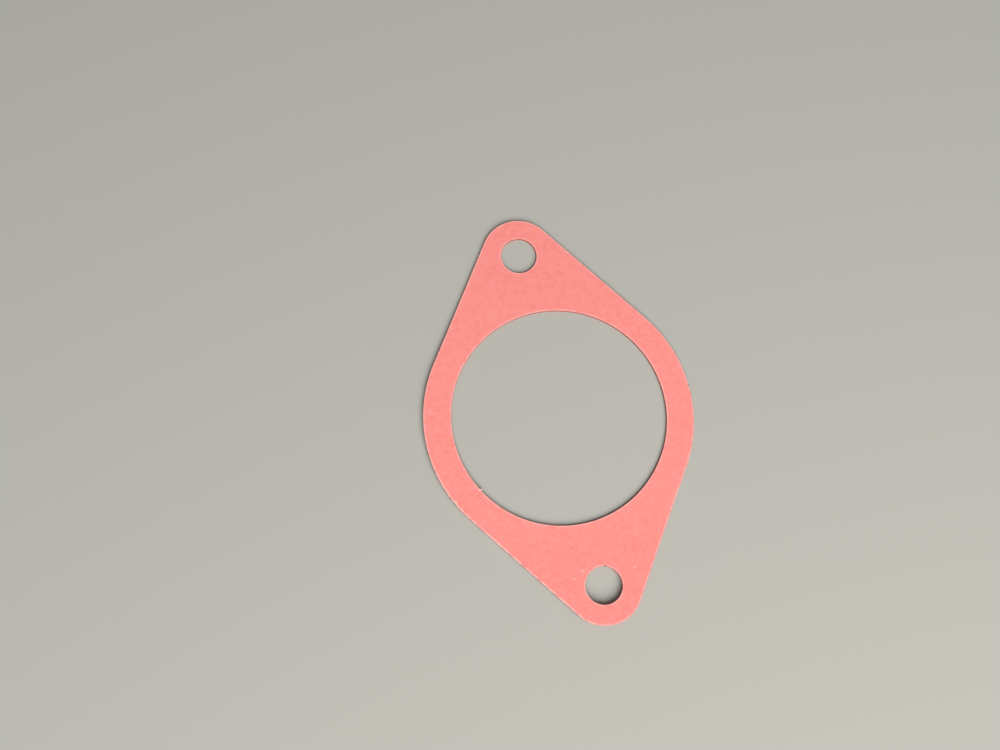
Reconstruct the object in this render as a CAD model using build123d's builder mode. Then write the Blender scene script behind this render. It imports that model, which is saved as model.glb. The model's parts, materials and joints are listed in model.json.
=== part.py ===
"""Two-bolt flange gasket, die-cut in one piece from flat rubber-bound fibre sheet.

The frame's origin is on the port's axis at the lower face. +Z points up through
the sheet and the bolt holes stand on the Y axis. All lengths are in millimetres.
"""

import os
from math import asin, degrees

from build123d import *

# Driving dimensions
BOLT_SPACING = 85.0
BOLT_HOLE_DIAMETER = 9.0
PORT_DIAMETER = 54.0
RING_DIAMETER = 68.0
LOBE_RADIUS = 9.5
SHEET_THICKNESS = 0.8
DIE_ROLL = 0.15  # the punch draws the upper edge of every cut down to this radius

# Worked out from the driving dimensions
bolt_offset = BOLT_SPACING / 2
ring_radius = RING_DIAMETER / 2
# The straight flanks touch ring and lobe at this angle above the X axis.
flank_angle = degrees(asin((ring_radius - LOBE_RADIUS) / bolt_offset))

with BuildPart() as gasket:
    with BuildSketch() as blank:
        # Ring arcs and lobe arcs, joined by four straight flanks that are tangent to both
        with BuildLine() as outline:
            ring_arc = CenterArc((0, 0), ring_radius, -flank_angle, 2 * flank_angle)
            lobe_arc = CenterArc(
                (0, bolt_offset), LOBE_RADIUS, flank_angle, 180 - 2 * flank_angle
            )
            flank = Line(ring_arc @ 1, lobe_arc @ 0)
            mirror([lobe_arc, flank], about=Plane.XZ)
            mirror([ring_arc, *outline.edges().filter_by(GeomType.LINE)], about=Plane.YZ)
        make_face()
        # Port for the flow, and a clearance hole for each bolt
        Circle(PORT_DIAMETER / 2, mode=Mode.SUBTRACT)
        with Locations((0, bolt_offset), (0, -bolt_offset)):
            Circle(BOLT_HOLE_DIAMETER / 2, mode=Mode.SUBTRACT)
    extrude(amount=SHEET_THICKNESS)

    # Upper edges of the outline, the port and the bolt holes, rounded by the cut
    upper_face = gasket.faces().sort_by(Axis.Z)[-1]
    fillet(upper_face.edges(), radius=DIE_ROLL)

gasket.part.label = "gasket"

os.makedirs("parts", exist_ok=True)
export_step(gasket.part, "parts/gasket.step")
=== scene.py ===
"""The look of a die-cut flange gasket: rubber-bound red fibre sheet, lying on a pale bench.

Everything is in metres in the part's own frame: the port stands on the Z axis, the
bolt holes on the Y axis, and the sheet's lower face is at z = 0. A place on the sheet
is an (x, y) vector, and MM turns millimetres into metres.
"""

import json
import math
import random

import bpy
from mathutils import Matrix, Vector, geometry, noise


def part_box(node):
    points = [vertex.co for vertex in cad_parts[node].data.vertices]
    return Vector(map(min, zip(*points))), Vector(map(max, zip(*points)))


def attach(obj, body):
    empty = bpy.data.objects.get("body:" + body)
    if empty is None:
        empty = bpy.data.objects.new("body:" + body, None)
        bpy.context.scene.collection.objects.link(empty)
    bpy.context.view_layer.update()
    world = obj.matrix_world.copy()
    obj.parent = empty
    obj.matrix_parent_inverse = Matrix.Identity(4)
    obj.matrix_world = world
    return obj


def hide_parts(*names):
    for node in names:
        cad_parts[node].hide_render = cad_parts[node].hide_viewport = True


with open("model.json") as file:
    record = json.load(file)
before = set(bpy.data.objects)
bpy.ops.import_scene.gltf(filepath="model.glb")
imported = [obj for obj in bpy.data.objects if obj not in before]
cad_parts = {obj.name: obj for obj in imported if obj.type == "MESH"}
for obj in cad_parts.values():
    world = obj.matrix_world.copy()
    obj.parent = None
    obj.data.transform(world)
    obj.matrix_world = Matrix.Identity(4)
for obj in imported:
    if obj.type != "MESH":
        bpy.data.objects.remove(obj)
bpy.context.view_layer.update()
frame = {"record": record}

MM = 0.001


# ---- Sizes of the gasket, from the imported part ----

MOUNTS = {mount["name"]: mount for mount in frame["record"]["mounts"]}
LOW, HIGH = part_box("gasket")

PORT_RADIUS = MOUNTS["port"]["dims"]["r_mm"] * MM
BOLT_HOLE_RADIUS = MOUNTS["bolt_holes"]["dims"]["hole_r_mm"] * MM
BOLT_OFFSET = MOUNTS["bolt_holes"]["dims"]["spacing_y_mm"] * MM / 2
RING_RADIUS = round(HIGH.x, 4)
LOBE_RADIUS = round(HIGH.y, 4) - BOLT_OFFSET
THICKNESS = HIGH.z - LOW.z
DIE_ROLL = THICKNESS - MOUNTS["port"]["dims"]["length_mm"] * MM

# The straight flanks touch ring and lobe at this angle above the X axis.
FLANK = math.asin((RING_RADIUS - LOBE_RADIUS) / BOLT_OFFSET)


# ---- How the sheet lies ----

# The sheet is slightly sprung. It lies on the bench over most of its length, and rises
# smoothly past these two lines, towards the -Y lobe's tip and the -X side of the ring.
LOBE_RISE = 1.4 * MM
LOBE_RISE_FROM = Vector((0.0, -24.0)) * MM
LOBE_RISE_REACH = 28.0 * MM  # the distance past the line at which the rise is reached
LIMB_RISE = 0.5 * MM
LIMB_RISE_FROM = Vector((-10.0, 0.0)) * MM
LIMB_RISE_REACH = 24.0 * MM
RISES = (
    (LOBE_RISE_FROM, Vector((0.0, -1.0)), LOBE_RISE, LOBE_RISE_REACH),
    (LIMB_RISE_FROM, Vector((-1.0, 0.0)), LIMB_RISE, LIMB_RISE_REACH),
)
BEND_LENGTH = 12.0 * MM  # the sheet bends over this length and is straight beyond it

WAVINESS = 0.02 * MM
WAVE_LENGTH = 7.0 * MM


# ---- How its edges were cut, and what has happened to them since ----

EDGE_SPACING = 0.2 * MM
FACE_SPACING = 0.8 * MM
FACE_MARGIN = 0.9 * MM  # no inner point of a face stands closer to its edge than this
RIM_WIDTH = 0.35 * MM  # the punch bruises the face this far in from the rounded edge
RIM_STEPS = 4
ROLL_STEPS = 5
WALL_STEPS = 6
LIP = 0.015 * MM
CUT_TONE_AND_SHADE = 0.8  # below 1, the cut wall's dark tone reaches further up the rounded edge; that tone is partly the raw cut's own colour and partly painted shade

RAGGED_DEPTH = 0.02 * MM
RAGGED_SCALE = 1.1 * MM
RAGGED_EASE = 0.6  # how much cleaner the cut is at the upper face, where the punch went in

# Small losses along the cut edges: (place, half the width, depth)
NICKS = (
    (Vector((-30.3, -14.9)) * MM, 0.45 * MM, 0.20 * MM),
    (Vector((-10.2, 44.7)) * MM, 0.50 * MM, 0.14 * MM),
    (Vector((34.0, 0.3)) * MM, 0.35 * MM, 0.16 * MM),
    (Vector((1.5, -38.3)) * MM, 0.30 * MM, 0.12 * MM),
    (Vector((10.4, 44.0)) * MM, 0.40 * MM, 0.12 * MM),
    (Vector((12.2, 41.8)) * MM, 0.45 * MM, 0.16 * MM),
    (Vector((13.9, 39.6)) * MM, 0.40 * MM, 0.12 * MM),
)

# A short crease pressed into the upper face, on the -X limb.
CREASE = (Vector((-31.6, 8.8)) * MM, Vector((-30.3, 7.2)) * MM)
CREASE_DEPTH = 0.05 * MM
CREASE_WIDTH = 0.14 * MM
CREASE_SPACING = 0.1 * MM
CREASE_REACH = 4  # spacings covered by extra points on either side of the crease
CREASE_CLEARANCE = 2  # spacings left open between them and the lattice

# The outline is painted pale like bare fibre where it faces about this way, on the side that
# catches the light: partly wear, partly painted highlight.
WORN_AND_LIT_AZIMUTH = math.radians(212)
WORN_AND_LIT_TOWARDS = Vector((math.cos(WORN_AND_LIT_AZIMUTH), math.sin(WORN_AND_LIT_AZIMUTH)))
WORN_AND_LIT_SPREAD = (0.72, 0.95)  # cosines of the angles at which the pale tone starts and is full


# ---- Outline and holes ----

def mix(first, second, share):
    return first + (second - first) * share


class Station:
    """A place on an edge: a circle's centre on the Y axis, its radius, and an angle on it."""

    def __init__(self, centre_y, radius, angle):
        self.centre_y = centre_y
        self.radius = radius
        self.angle = angle

    def point(self, further_out=0.0):
        reach = self.radius + further_out
        return Vector((reach * math.cos(self.angle), self.centre_y + reach * math.sin(self.angle)))

    def towards(self, other, share):
        return Station(
            mix(self.centre_y, other.centre_y, share),
            mix(self.radius, other.radius, share),
            mix(self.angle, other.angle, share),
        )


def walk(corners):
    """Evenly spaced stations round a closed edge.

    An arc turns the angle, and a flank moves the centre.
    """
    stations = []
    for start, end in zip(corners, corners[1:]):
        straight = (end.point() - start.point()).length if start.angle == end.angle else 0.0
        length = max(straight, abs(end.angle - start.angle) * start.radius)
        steps = math.ceil(length / EDGE_SPACING)
        stations += [start.towards(end, step / steps) for step in range(steps)]
    return stations


def outline_stations():
    """Ring arc, flank, lobe arc, flank, all the way round."""
    corners = []
    for side, turn in ((1, 0.0), (-1, math.pi)):
        lobe_y = side * BOLT_OFFSET
        corners.append(Station(0.0, RING_RADIUS, turn - FLANK))
        corners.append(Station(0.0, RING_RADIUS, turn + FLANK))
        corners.append(Station(lobe_y, LOBE_RADIUS, turn + FLANK))
        corners.append(Station(lobe_y, LOBE_RADIUS, turn + math.pi - FLANK))
    corners.append(Station(0.0, RING_RADIUS, 2 * math.pi - FLANK))
    return walk(corners)


def hole_stations(centre_y, radius):
    return walk([Station(centre_y, radius, 0.0), Station(centre_y, radius, 2 * math.pi)])


def cut_edges():
    """Every cut edge, with +1 where the material ends outwards and -1 where it ends inwards."""
    return [
        (outline_stations(), 1),
        (hole_stations(0.0, PORT_RADIUS), -1),
        (hole_stations(BOLT_OFFSET, BOLT_HOLE_RADIUS), -1),
        (hole_stations(-BOLT_OFFSET, BOLT_HOLE_RADIUS), -1),
    ]


def well_inside(point):
    """Is this point of the sheet further from every edge than the face margin?"""
    for centre_y, radius in ((0.0, PORT_RADIUS), (BOLT_OFFSET, BOLT_HOLE_RADIUS)):
        if math.hypot(point.x, abs(point.y) - centre_y) < radius + FACE_MARGIN:
            return False
    x, y = abs(point.x), abs(point.y)
    along_flank = y * math.cos(FLANK) - x * math.sin(FLANK)
    if along_flank < 0:
        return math.hypot(x, y) < RING_RADIUS - FACE_MARGIN
    if along_flank > BOLT_OFFSET * math.cos(FLANK):
        return math.hypot(x, y - BOLT_OFFSET) < LOBE_RADIUS - FACE_MARGIN
    return x * math.cos(FLANK) + y * math.sin(FLANK) < RING_RADIUS - FACE_MARGIN


# ---- Form of the sheet ----

def lift(point):
    """Height of the sheet's lower face above the bench."""
    height = WAVINESS * (1 + noise.noise(Vector((point.x, point.y, 0.0)) / WAVE_LENGTH)) / 2
    for start, direction, rise, reach in RISES:
        distance = (point - start).dot(direction)
        if distance <= 0:
            continue
        bent = min(distance, BEND_LENGTH)
        straight = distance - bent
        full_rise = BEND_LENGTH * (2 * reach - BEND_LENGTH)
        height += rise * (bent * bent + 2 * BEND_LENGTH * straight) / full_rise
    return height


def from_crease(point):
    """Distance of this point from the crease."""
    start, end = CREASE
    share = geometry.intersect_point_line(point, start, end)[1]
    return (point - start.lerp(end, min(max(share, 0.0), 1.0))).length


def creased(point):
    """1 on the crease, falling to 0 beside it."""
    return math.exp(-((from_crease(point) / CREASE_WIDTH) ** 2))


def edge_loss(point, height):
    """How far a cut edge stands back from its true line: nicks, and a little raggedness."""
    torn = 1.0 - RAGGED_EASE * height / THICKNESS
    loss = RAGGED_DEPTH * torn * noise.noise(Vector((point.x, point.y, height)) / RAGGED_SCALE)
    for place, half_width, depth in NICKS:
        away = (point - place).length / half_width
        if away < 1:
            loss += depth * (1 - away * away)
    return loss


def edge_profile():
    """Rows from the face over the rounded edge, down the wall and under it.

    Each is (outwards, height, rim, wall). The wall share carries the cut wall's dark tone, which
    is partly painted shade.
    """
    rows = []
    for step in range(RIM_STEPS):
        bruised = step / RIM_STEPS
        rows.append((-DIE_ROLL - RIM_WIDTH * (1 - bruised), THICKNESS, bruised, 0.0))
    for step in range(ROLL_STEPS + 1):
        share = step / ROLL_STEPS
        turn = share * math.pi / 2
        outwards = DIE_ROLL * (math.sin(turn) - 1)
        height = THICKNESS - DIE_ROLL * (1 - math.cos(turn))
        cut = share ** CUT_TONE_AND_SHADE
        rows.append((outwards, height, 1.0 - cut, cut))
    wall_top = THICKNESS - DIE_ROLL
    for step in range(1, WALL_STEPS):
        rows.append((0.0, wall_top * (1 - step / WALL_STEPS), 0.0, 1.0))
    rows.append((LIP, LIP, 0.0, 1.0))
    rows.append((0.0, 0.0, 0.0, 1.0))
    rows.append((-DIE_ROLL - RIM_WIDTH, 0.0, 0.0, 0.0))
    return rows


def worn(station, side):
    """How far the outline is painted pale here, from 0 to 1: partly wear, partly painted
    highlight.
    """
    if side < 0:
        return 0.0
    facing = Vector((math.cos(station.angle), math.sin(station.angle))).dot(WORN_AND_LIT_TOWARDS)
    least, most = WORN_AND_LIT_SPREAD
    return min(max((facing - least) / (most - least), 0.0), 1.0)


class Sheet:
    """The gasket's mesh in the making: points, their marks for the finish, and faces."""

    def __init__(self):
        self.places = []
        self.faces = []
        self.marks = {"rim": [], "wall": [], "worn": [], "creased": []}

    def add(self, point, height, **marks):
        self.places.append((point.x, point.y, height + lift(point)))
        for name, values in self.marks.items():
            values.append(marks.get(name, 0.0))
        return len(self.places) - 1

    def edge(self, stations, side):
        """Builds a cut edge from the upper face to the lower one.

        The pale tone on the outline, partly painted highlight, fades down the wall.
        """
        loops = []
        for outwards, height, rim, wall in edge_profile():
            follows = min(1.0, 1.0 + (outwards + DIE_ROLL) / RIM_WIDTH)
            loop = []
            for station in stations:
                out = outwards - follows * edge_loss(station.point(), height)
                # pale on the side of the outline that faces the light, partly wear and partly
                # painted highlight, lighter towards the top of the wall
                rubbed_and_lit = worn(station, side) * max(rim, wall) * height / THICKNESS
                point = station.point(side * out)
                loop.append(self.add(point, height, rim=rim, wall=wall, worn=rubbed_and_lit))
            loops.append(loop)
        for upper, lower in zip(loops, loops[1:]):
            for here in range(len(stations)):
                there = (here + 1) % len(stations)
                quad = (upper[here], lower[here], lower[there], upper[there])
                self.faces.append(quad if side > 0 else quad[::-1])
        return loops[0], loops[-1]

    def face_pair(self, upper_loops, lower_loops, inner):
        """Fills the upper and the lower face between their loops, with the same triangles.

        The first loop is the outline and the others are the holes.
        """
        upper = [vertex for loop in upper_loops for vertex in loop]
        lower = [vertex for loop in lower_loops for vertex in loop]
        loop_of = [number for number, loop in enumerate(upper_loops) for _ in loop]
        hole_loops = set(range(1, len(upper_loops)))
        borders = []
        first = 0
        for loop in upper_loops:
            borders += [(first + i, first + (i + 1) % len(loop)) for i in range(len(loop))]
            first += len(loop)
        for point in inner:
            depth = CREASE_DEPTH * creased(point)
            upper.append(self.add(point, THICKNESS - depth, creased=creased(point)))
        lower += [self.add(point, 0.0) for point in inner]
        flat = [Vector(self.places[vertex][:2]) for vertex in upper]
        inside_outline, merge_distance = 1, 1e-9
        solved = geometry.delaunay_2d_cdt(flat, borders, [], inside_outline, merge_distance)
        triangles, origins = solved[2], solved[3]
        for triangle in triangles:
            a, b, c = (origins[corner][0] for corner in triangle)
            loops = {loop_of[corner] if corner < len(loop_of) else None for corner in (a, b, c)}
            fills_a_hole = len(loops) == 1 and loops & hole_loops
            if not fills_a_hole:
                self.faces.append((upper[a], upper[b], upper[c]))
                self.faces.append((lower[c], lower[b], lower[a]))

    def finish(self, name):
        mesh = bpy.data.meshes.new(name)
        mesh.from_pydata(self.places, [], self.faces)
        for mark, values in self.marks.items():
            attribute = mesh.attributes.new(mark, "FLOAT", "POINT")
            attribute.data.foreach_set("value", values)
        mesh.shade_smooth()
        piece = bpy.data.objects.new(name, mesh)
        bpy.context.scene.collection.objects.link(piece)
        return piece


def lattice_points():
    """A triangular lattice inside the sheet's edges, left open around the crease."""
    points = []
    row_step = FACE_SPACING * math.sqrt(3) / 2
    rows = math.ceil(HIGH.y / row_step)
    columns = math.ceil(HIGH.x / FACE_SPACING)
    clear = CREASE_SPACING * (CREASE_REACH + CREASE_CLEARANCE)
    for row in range(-rows, rows + 1):
        for column in range(-columns, columns + 1):
            point = Vector(((column + (row % 2) / 2) * FACE_SPACING, row * row_step))
            if well_inside(point) and from_crease(point) > clear:
                points.append(point)
    return points


def crease_points():
    """Close rows of points along the crease and a little past its ends."""
    start, end = CREASE
    along = (end - start).normalized()
    across = Vector((-along.y, along.x))
    steps = math.ceil((end - start).length / CREASE_SPACING)
    points = []
    for step in range(-CREASE_REACH, steps + CREASE_REACH + 1):
        for shift in range(-CREASE_REACH, CREASE_REACH + 1):
            forwards, sideways = step * CREASE_SPACING, shift * CREASE_SPACING
            points.append(start + along * forwards + across * sideways)
    return points


def make_sheet():
    sheet = Sheet()
    loops = [sheet.edge(stations, side) for stations, side in cut_edges()]
    upper_loops = [upper for upper, lower in loops]
    lower_loops = [lower for upper, lower in loops]
    sheet.face_pair(upper_loops, lower_loops, lattice_points() + crease_points())
    return sheet.finish("gasket_sheet")


# ---- Torn fibres that stand out of the cut edges ----

FIBRE_SIDES = 5
FIBRE_STEPS = 6
FIBRE_TIP = 0.02  # square of the share of its radius that a fibre keeps at its tip

FIBRE_SEED = 7
FIBRE_UPWARDS = (0.1, 0.6)  # how steeply a fibre starts, as rise over run
FIBRE_SPREAD = 0.5  # angle by which it may turn aside
FIBRE_HEIGHTS = (0.6, 0.85)  # shares of the thickness
FIBRE_BURIED = 0.2  # share of its length inside the sheet
FIBRE_SIZES = (0.7, 1.1)
FIBRE_CURL = (0.2, 1.0)

# A chip raised on the port's edge, and loose ends at the nicks and the +Y bolt hole:
# (root, points towards, how many, length, radius)
TUFTS = (
    (Vector((-23.4, -13.2)) * MM, Vector((0.9, 0.3)), 5, 0.42 * MM, 0.20 * MM),
    (Vector((-30.2, -15.0)) * MM, Vector((-0.9, -0.4)), 3, 0.40 * MM, 0.05 * MM),
    (Vector((-10.1, 44.7)) * MM, Vector((-0.9, 0.4)), 3, 0.45 * MM, 0.05 * MM),
    (Vector((12.3, 41.8)) * MM, Vector((0.8, 0.6)), 4, 0.35 * MM, 0.035 * MM),
    (Vector((-4.3, 42.0)) * MM, Vector((1.0, 0.1)), 3, 0.40 * MM, 0.035 * MM),
)


def add_fibre(places, faces, root, heading, length, radius, curl):
    """A closed tapered hair that starts inside the sheet and curls upwards."""
    first = len(places)
    across = Vector((-heading.y, heading.x, 0.0)).normalized()
    centre = root.copy()
    direction = heading.normalized()
    for step in range(FIBRE_STEPS + 1):
        share = step / FIBRE_STEPS
        girth = radius * math.sqrt(max(1.0 - share * share, FIBRE_TIP))
        above = direction.cross(across)
        for side in range(FIBRE_SIDES):
            turn = 2 * math.pi * side / FIBRE_SIDES
            spot = centre + girth * (across * math.cos(turn) + above * math.sin(turn))
            places.append(tuple(spot))
        direction.rotate(Matrix.Rotation(-curl / FIBRE_STEPS, 3, across))
        centre = centre + direction * (length / FIBRE_STEPS)
    for step in range(FIBRE_STEPS):
        for side in range(FIBRE_SIDES):
            near = first + step * FIBRE_SIDES
            far = near + FIBRE_SIDES
            there = (side + 1) % FIBRE_SIDES
            faces.append((near + side, near + there, far + there, far + side))
    last = first + FIBRE_STEPS * FIBRE_SIDES
    faces.append(tuple(first + side for side in reversed(range(FIBRE_SIDES))))
    faces.append(tuple(last + side for side in range(FIBRE_SIDES)))


def make_torn_fibres():
    draw = random.Random(FIBRE_SEED)
    places, faces = [], []
    for root, towards, count, length, radius in TUFTS:
        for _ in range(count):
            heading = Vector((towards.x, towards.y, draw.uniform(*FIBRE_UPWARDS)))
            heading.rotate(Matrix.Rotation(draw.uniform(-FIBRE_SPREAD, FIBRE_SPREAD), 3, "Z"))
            height = THICKNESS * draw.uniform(*FIBRE_HEIGHTS) + lift(root)
            start = Vector((root.x, root.y, height))
            start -= heading.normalized() * (FIBRE_BURIED * length)
            size = draw.uniform(*FIBRE_SIZES)
            curl = draw.uniform(*FIBRE_CURL)
            add_fibre(places, faces, start, heading, length * size, radius * size, curl)
    mesh = bpy.data.meshes.new("torn_fibres")
    mesh.from_pydata(places, [], faces)
    mesh.shade_smooth()
    fibres = bpy.data.objects.new("torn_fibres", mesh)
    bpy.context.scene.collection.objects.link(fibres)
    return fibres


# ---- Materials ----

class Wire:
    """A socket of a material, so that wire * 0.5 + other adds the Math nodes that work it out."""

    def __init__(self, finish, socket):
        self.finish = finish
        self.socket = socket

    def math(self, operation, first, second):
        return self.finish.node("ShaderNodeMath", {"operation": operation}, {0: first, 1: second})

    def __add__(self, other):
        return self.math("ADD", self, other)

    def __radd__(self, other):
        return self.math("ADD", other, self)

    def __mul__(self, other):
        return self.math("MULTIPLY", self, other)

    def __rmul__(self, other):
        return self.math("MULTIPLY", other, self)


CLOUD_DETAIL = 2.0
SPOT_CORE = 0.3  # share of a spot's reach over which it keeps its full strength


class Finish:
    """A material in the making."""

    def __init__(self, name):
        self.material = bpy.data.materials.new(name)
        self.material.use_nodes = True
        self.tree = self.material.node_tree
        self.tree.nodes.clear()

    def node(self, kind, settings, sockets, output=0):
        """Adds a node, makes its settings, fills or links its sockets, and returns one output."""
        made = self.tree.nodes.new(kind)
        for name, value in settings.items():
            setattr(made, name, value)
        for name, value in sockets.items():
            if isinstance(value, Wire):
                self.tree.links.new(value.socket, made.inputs[name])
            else:
                made.inputs[name].default_value = value
        return Wire(self, made.outputs[output]) if len(made.outputs) else None

    def place(self):
        return self.node("ShaderNodeTexCoord", {}, {}, "Object")

    def mark(self, name):
        """A value stored on the mesh's points."""
        return self.node("ShaderNodeAttribute", {"attribute_name": name}, {}, "Fac")

    def blend(self, share, first, second):
        """Colour mix: first where share is 0, second where it is 1."""
        factor, colour_a, colour_b, colour_out = 0, 6, 7, 2
        sockets = {factor: share, colour_a: first, colour_b: second}
        return self.node("ShaderNodeMix", {"data_type": "RGBA"}, sockets, colour_out)

    def between(self, value, low, high):
        """0 at low, 1 at high, smooth between them and level beyond them."""
        sockets = {"Value": value, "From Min": low, "From Max": high}
        return self.node("ShaderNodeMapRange", {"interpolation_type": "SMOOTHSTEP"}, sockets)

    def weigh(self, first, second, share):
        """A weighted mean of two values, with this share of the first."""
        return first * share + second * (1 - share)

    def cloud(self, place, size, detail=CLOUD_DETAIL):
        """Soft noise with blotches of about this size, from 0 to 1."""
        sockets = {"Vector": place, "Scale": 1 / size, "Detail": detail}
        return self.node("ShaderNodeTexNoise", {}, sockets)

    def strands(self, place, angle, length, width):
        """Noise drawn out along one direction of the sheet, so that it reads as lying fibres."""
        drawn = self.node(
            "ShaderNodeMapping",
            {"vector_type": "TEXTURE"},
            {"Vector": place, "Rotation": (0.0, 0.0, angle), "Scale": (length, width, width)},
        )
        return self.cloud(drawn, 1.0)

    def near(self, place, target, reach):
        """1 at the target, falling to 0 at this reach."""
        sockets = {0: place, 1: target}
        distance = self.node("ShaderNodeVectorMath", {"operation": "DISTANCE"}, sockets, "Value")
        return self.between(distance, reach, SPOT_CORE * reach)

    def surface(self, colour, normal, roughness, specular):
        """The last two nodes: the shader, and the material's output."""
        sockets = {"Base Color": colour, "Roughness": roughness, "Specular IOR Level": specular}
        if normal:
            sockets["Normal"] = normal
        shader = self.node("ShaderNodeBsdfPrincipled", {}, sockets)
        self.node("ShaderNodeOutputMaterial", {}, {"Surface": shader})
        return self.material


SHEET_RED = (0.99, 0.295, 0.262, 1.0)
DEEP_RED = (0.88, 0.205, 0.175, 1.0)
FIBRE_PINK = (1.0, 0.400, 0.350, 1.0)
RIM_PINK = (0.97, 0.500, 0.455, 1.0)
# The cut wall's dark red is partly the raw cut's own colour and partly painted shade along the
# edges.
WALL_RED_AND_SHADE = (0.36, 0.080, 0.058, 1.0)
BARE_FIBRE = (0.93, 0.66, 0.60, 1.0)
# A dark tone laid round two of the nicks.
DARK_TONE = (0.10, 0.05, 0.045, 1.0)
BENCH_GREY = (0.485, 0.480, 0.432, 1.0)

STRAND_ANGLES = (0.35, 1.50, 2.60)
STRAND_LENGTH = 1.6 * MM
STRAND_WIDTH = 0.28 * MM
BLOTCH_SIZE = 1.3 * MM
PATCH_SIZE = 9.0 * MM
FLECK_SIZE = 0.75 * MM
GRAIN_SIZE = 0.22 * MM
BLOTCH_DETAIL = 3.0
FLECK_DETAIL = 1.0
SHEET_BUMP = 0.35
SHEET_BUMP_HEIGHT = 0.03 * MM

# Levels of the noise at which a tone starts and is full, and the most of it that shows
PALE_FADE, PALE_SHARE = (0.47, 0.62), 0.30
DEEP_FADE, DEEP_SHARE = (0.50, 0.36), 0.20
FLECK_FADE, FLECK_SHARE = (0.36, 0.27), 0.40
RIM_FADE = (0.3, 0.55)
WALL_FADE, WALL_SHARE = (0.3, 0.7), 0.3
WORN_AND_LIT_FADE, WORN_AND_LIT_SHARE = (0.34, 0.56), 0.55
CREASE_SHARE = 0.3
FIBRE_TONE_SHARE = 0.5

# Shares of the first noise where two are weighed together
PALE_MATTED = 0.6
DEEP_BLOTCHES = 0.7
RIM_BLOTCHES = 0.5
WALL_STRANDS = 0.5
BUMP_MATTED = 0.6

# (roughness, specular level)
SHEET_GLOSS = (0.85, 0.2)
FIBRE_GLOSS = (0.8, 0.2)
BENCH_GLOSS = (0.9, 0.1)

# Pale spots where the surface is rubbed through, on the -Y lobe: (x, y, reach) in millimetres.
RUBBED_SPOTS = ((-4.0, -38.0, 0.55), (-6.6, -39.3, 0.50), (8.5, -39.9, 0.45))
# Bare fibre at the edge where the sheet is nicked or split.
BARE_SPOTS = (
    (-23.6, -13.2, 0.55),
    (-30.2, -14.9, 0.50),
    (-10.1, 44.7, 0.60),
    (12.2, 41.8, 0.50),
)
# Darker spots round two of the nicks: (x, y, reach) in millimetres.
DARK_NICK_SPOTS = ((1.5, -38.2, 0.45), (33.9, 0.3, 0.40))

# (where, tone, strength)
SPOTS = (
    (RUBBED_SPOTS, BARE_FIBRE, 0.30),
    (BARE_SPOTS, BARE_FIBRE, 0.9),
    (DARK_NICK_SPOTS, DARK_TONE, 0.8),
)


def on_upper_face(x, y):
    """The place on the upper face above (x, y), given in millimetres."""
    point = Vector((x, y)) * MM
    return Vector((point.x, point.y, THICKNESS + lift(point)))


def sheet_finish():
    """Red fibre sheet: matted strands, darker flecks, a bruised pale rim, a raw cut wall darkened
    partly with painted shade, and pale patches on the outline's -X -Y side that are partly wear
    and partly painted highlight.
    """
    finish = Finish("red_fibre_sheet")
    place = finish.place()
    strands = [
        finish.strands(place, angle, STRAND_LENGTH, STRAND_WIDTH) for angle in STRAND_ANGLES
    ]
    matted = (strands[0] + strands[1] + strands[2]) * (1 / len(strands))
    blotches = finish.cloud(place, BLOTCH_SIZE, BLOTCH_DETAIL)
    patches = finish.cloud(place, PATCH_SIZE)
    grain = finish.cloud(place, GRAIN_SIZE)

    pale = finish.between(finish.weigh(matted, blotches, PALE_MATTED), *PALE_FADE)
    deep = finish.between(finish.weigh(blotches, patches, DEEP_BLOTCHES), *DEEP_FADE)
    flecks = finish.between(finish.cloud(place, FLECK_SIZE, FLECK_DETAIL), *FLECK_FADE)
    colour = finish.blend(pale * PALE_SHARE, SHEET_RED, FIBRE_PINK)
    colour = finish.blend(deep * DEEP_SHARE, colour, DEEP_RED)
    colour = finish.blend(flecks * FLECK_SHARE, colour, DEEP_RED)
    colour = finish.blend(finish.mark("creased") * CREASE_SHARE, colour, BARE_FIBRE)

    bruised = finish.between(finish.weigh(blotches, matted, RIM_BLOTCHES), *RIM_FADE)
    colour = finish.blend(finish.mark("rim") * bruised, colour, RIM_PINK)
    # The cut wall's colour: its dark red is partly its own tone and partly painted shade.
    wall_tone = finish.between(finish.weigh(strands[0], grain, WALL_STRANDS), *WALL_FADE)
    wall_colour_and_shade = finish.blend(wall_tone * WALL_SHARE, WALL_RED_AND_SHADE, FIBRE_PINK)
    colour = finish.blend(finish.mark("wall"), colour, wall_colour_and_shade)
    # Pale patches along the outline's -X -Y side: partly wear, partly painted highlight.
    rubbed_and_lit = finish.mark("worn") * finish.between(blotches, *WORN_AND_LIT_FADE)
    colour = finish.blend(rubbed_and_lit * WORN_AND_LIT_SHARE, colour, BARE_FIBRE)

    for spots, tone, strength in SPOTS:
        for x, y, reach in spots:
            spot = finish.near(place, on_upper_face(x, y), reach * MM)
            colour = finish.blend(spot * strength, colour, tone)

    height = finish.weigh(matted, grain, BUMP_MATTED)
    normal = finish.node(
        "ShaderNodeBump",
        {},
        {"Strength": SHEET_BUMP, "Distance": SHEET_BUMP_HEIGHT, "Height": height},
    )
    return finish.surface(colour, normal, *SHEET_GLOSS)


def fibre_finish():
    """Torn ends show the undyed fibre."""
    finish = Finish("bare_fibre")
    tone = finish.cloud(finish.place(), GRAIN_SIZE)
    colour = finish.blend(tone * FIBRE_TONE_SHARE, BARE_FIBRE, FIBRE_PINK)
    return finish.surface(colour, None, *FIBRE_GLOSS)


def bench_finish():
    finish = Finish("pale_bench")
    return finish.surface(BENCH_GREY, None, *BENCH_GLOSS)


# ---- Bench, light and camera ----

BENCH_SIZE = 3.0
BENCH_GAP = 0.01 * MM  # keeps the bench's surface clear of the sheet's lower face

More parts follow.
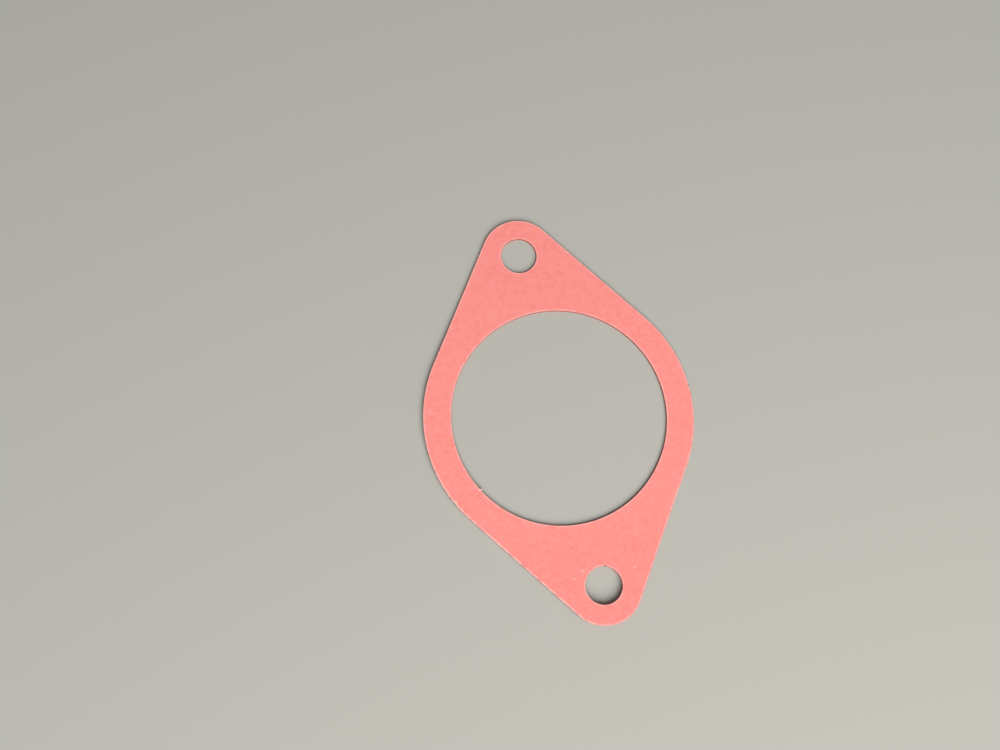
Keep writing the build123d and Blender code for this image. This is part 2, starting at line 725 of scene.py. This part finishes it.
SKY_STRENGTH = 0.2
WINDOW_AZIMUTH = math.radians(-84)
WINDOW_ELEVATION = math.radians(48)
WINDOW_DISTANCE = 0.85
WINDOW_SIZE = 0.85
WINDOW_POWER = 10.5

CAMERA_PLACE = Vector((-42.66, -29.18, 244.77)) * MM
CAMERA_TARGET = Vector((-12.02, 13.51, 0.0)) * MM
CAMERA_ROLL = math.radians(-13.93)
CAMERA_LENS_MM = 36.0
CAMERA_SENSOR_MM = 36.0
CAMERA_NEAREST = 10 * MM


def make_bench():
    half = BENCH_SIZE / 2
    corners = [(x * half, y * half, -BENCH_GAP) for x, y in ((-1, -1), (1, -1), (1, 1), (-1, 1))]
    mesh = bpy.data.meshes.new("bench")
    mesh.from_pydata(corners, [], [(0, 1, 2, 3)])
    mesh.materials.append(bench_finish())
    bench = bpy.data.objects.new("bench", mesh)
    bpy.context.scene.collection.objects.link(bench)


def make_light():
    """A soft window on the -Y side, and an even sky."""
    lamp = bpy.data.lights.new("window", "AREA")
    lamp.shape = "SQUARE"
    lamp.size = WINDOW_SIZE
    lamp.energy = WINDOW_POWER
    level = math.cos(WINDOW_ELEVATION)
    towards = Vector((
        level * math.cos(WINDOW_AZIMUTH),
        level * math.sin(WINDOW_AZIMUTH),
        math.sin(WINDOW_ELEVATION),
    ))
    window = bpy.data.objects.new("window", lamp)
    window.location = towards * WINDOW_DISTANCE
    window.rotation_euler = towards.to_track_quat("Z", "Y").to_euler()
    bpy.context.scene.collection.objects.link(window)
    sky = bpy.data.worlds.new("sky")
    sky.use_nodes = True
    background = sky.node_tree.nodes["Background"]
    background.inputs["Color"].default_value = (1.0, 1.0, 1.0, 1.0)
    background.inputs["Strength"].default_value = SKY_STRENGTH
    bpy.context.scene.world = sky


def make_camera():
    """Looks down on the gasket, with +Y up in the frame before the camera is rolled."""
    lens = bpy.data.cameras.new("camera")
    lens.lens = CAMERA_LENS_MM
    lens.sensor_width = CAMERA_SENSOR_MM
    lens.clip_start = CAMERA_NEAREST
    camera = bpy.data.objects.new("camera", lens)
    back = (CAMERA_PLACE - CAMERA_TARGET).normalized()
    right = Vector((0, 1, 0)).cross(back).normalized()
    up = back.cross(right)
    level = Matrix((right, up, back)).transposed()
    rolled = Matrix.Rotation(CAMERA_ROLL, 3, back) @ level
    camera.matrix_world = Matrix.Translation(CAMERA_PLACE) @ rolled.to_4x4()
    bpy.context.scene.collection.objects.link(camera)
    bpy.context.scene.camera = camera


make_camera()
make_light()
make_bench()

sheet = make_sheet()
sheet.data.materials.append(sheet_finish())
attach(sheet, "root")
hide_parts("gasket")

torn_fibres = make_torn_fibres()
torn_fibres.data.materials.append(fibre_finish())
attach(torn_fibres, "root")

bpy.context.scene.view_settings.view_transform = "Standard"
